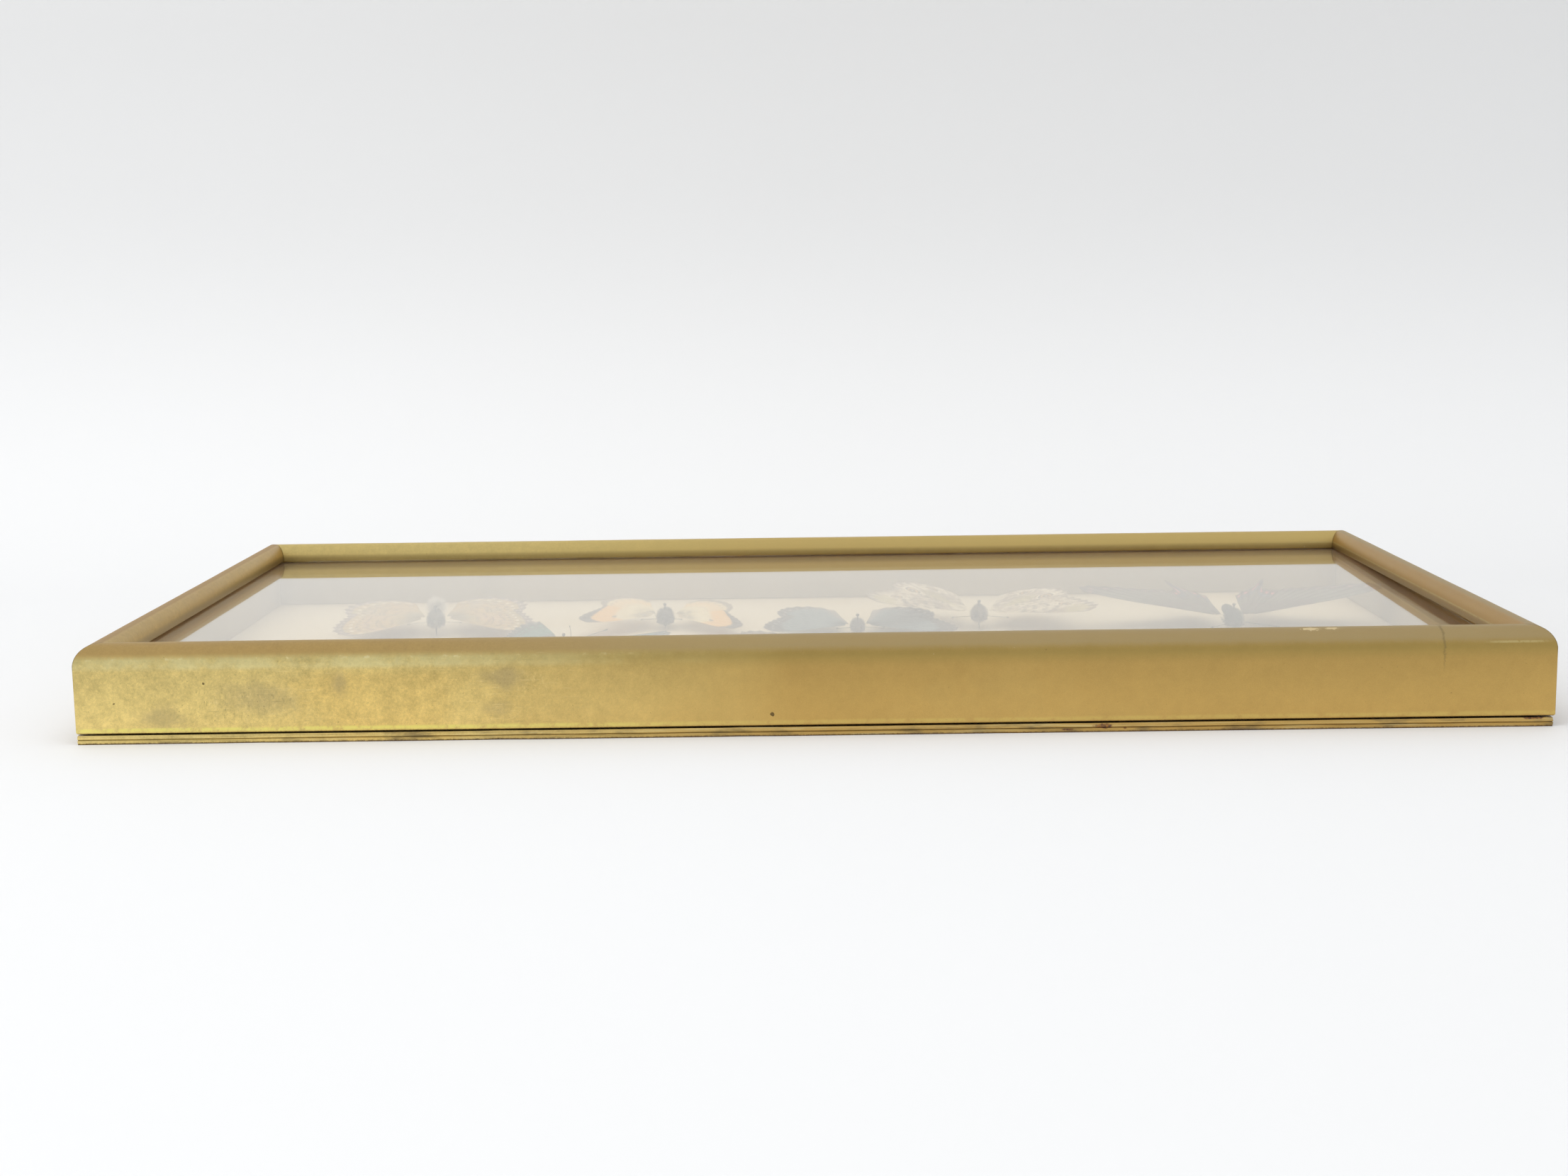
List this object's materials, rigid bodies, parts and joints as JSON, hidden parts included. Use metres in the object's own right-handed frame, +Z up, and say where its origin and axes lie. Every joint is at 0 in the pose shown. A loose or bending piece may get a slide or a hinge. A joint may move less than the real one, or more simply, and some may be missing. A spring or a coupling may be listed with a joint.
{
  "type": "framed butterfly specimen",
  "caption": "Shallow shadow box with a mitred, gilded, round-topped wooden frame and a glass pane over spread butterflies pinned to a cream papered board; it lies on its back board.",
  "frame": {"origin": "centre of the footprint, on the surface that the frame lies on", "axes": "+X along the frame's long side, +Y from the front rail to the back rail, +Z up out of the glass"},
  "size_m": [0.56, 0.2986, 0.038],
  "materials": {
    "gilt": "bronze-powder gilding over wood, satin, worn and mottled",
    "board_gilt": "gilded board edge, scuffed",
    "glass": "clear picture glass, slightly dusty",
    "spacer_paper": "pale grey lining paper, matt",
    "mount_paper": "cream mounting paper, matt",
    "tawny_wing": "scaled, matt, mottled",
    "teal_wing": "scaled, soft sheen",
    "orange_tip_wing": "scaled, matt, cream with orange tips",
    "blue_wing": "scaled, metallic blue sheen",
    "ringed_wing": "scaled, matt, marbled with rings",
    "swallowtail_wing": "scaled, velvety",
    "brown_wing": "scaled, matt, mottled",
    "fur": "short dense hair",
    "pin_steel": "blackened steel"
  },
  "bodies": {
    "root": {"rail_front": "gilt", "rail_back": "gilt", "rail_left": "gilt", "rail_right": "gilt", "glass_pane": "glass", "spacer_front": "spacer_paper", "spacer_back": "spacer_paper", "spacer_left": "spacer_paper", "spacer_right": "spacer_paper", "mount_board": "mount_paper", "back_board": "board_gilt", "tawny_body": "fur", "tawny_forewing_left": "tawny_wing", "tawny_forewing_right": "tawny_wing", "tawny_hindwing_left": "tawny_wing", "tawny_hindwing_right": "tawny_wing", "tawny_pin": "pin_steel", "teal_body": "fur", "teal_forewing_left": "teal_wing", "teal_forewing_right": "teal_wing", "teal_hindwing_left": "teal_wing", "teal_hindwing_right": "teal_wing", "teal_pin": "pin_steel", "orange_tip_body": "fur", "orange_tip_forewing_left": "orange_tip_wing", "orange_tip_forewing_right": "orange_tip_wing", "orange_tip_hindwing_left": "orange_tip_wing", "orange_tip_hindwing_right": "orange_tip_wing", "orange_tip_pin": "pin_steel", "blue_body": "fur", "blue_forewing_left": "blue_wing", "blue_forewing_right": "blue_wing", "blue_hindwing_left": "blue_wing", "blue_hindwing_right": "blue_wing", "blue_pin": "pin_steel", "ringed_body": "fur", "ringed_forewing_left": "ringed_wing", "ringed_forewing_right": "ringed_wing", "ringed_hindwing_left": "ringed_wing", "ringed_hindwing_right": "ringed_wing", "ringed_pin": "pin_steel", "swallowtail_body": "fur", "swallowtail_forewing_left": "swallowtail_wing", "swallowtail_forewing_right": "swallowtail_wing", "swallowtail_hindwing_left": "swallowtail_wing", "swallowtail_hindwing_right": "swallowtail_wing", "swallowtail_pin": "pin_steel", "brown_body": "fur", "brown_forewing_left": "brown_wing", "brown_forewing_right": "brown_wing", "brown_hindwing_left": "brown_wing", "brown_hindwing_right": "brown_wing", "brown_pin": "pin_steel"}
  },
  "joints": []
}
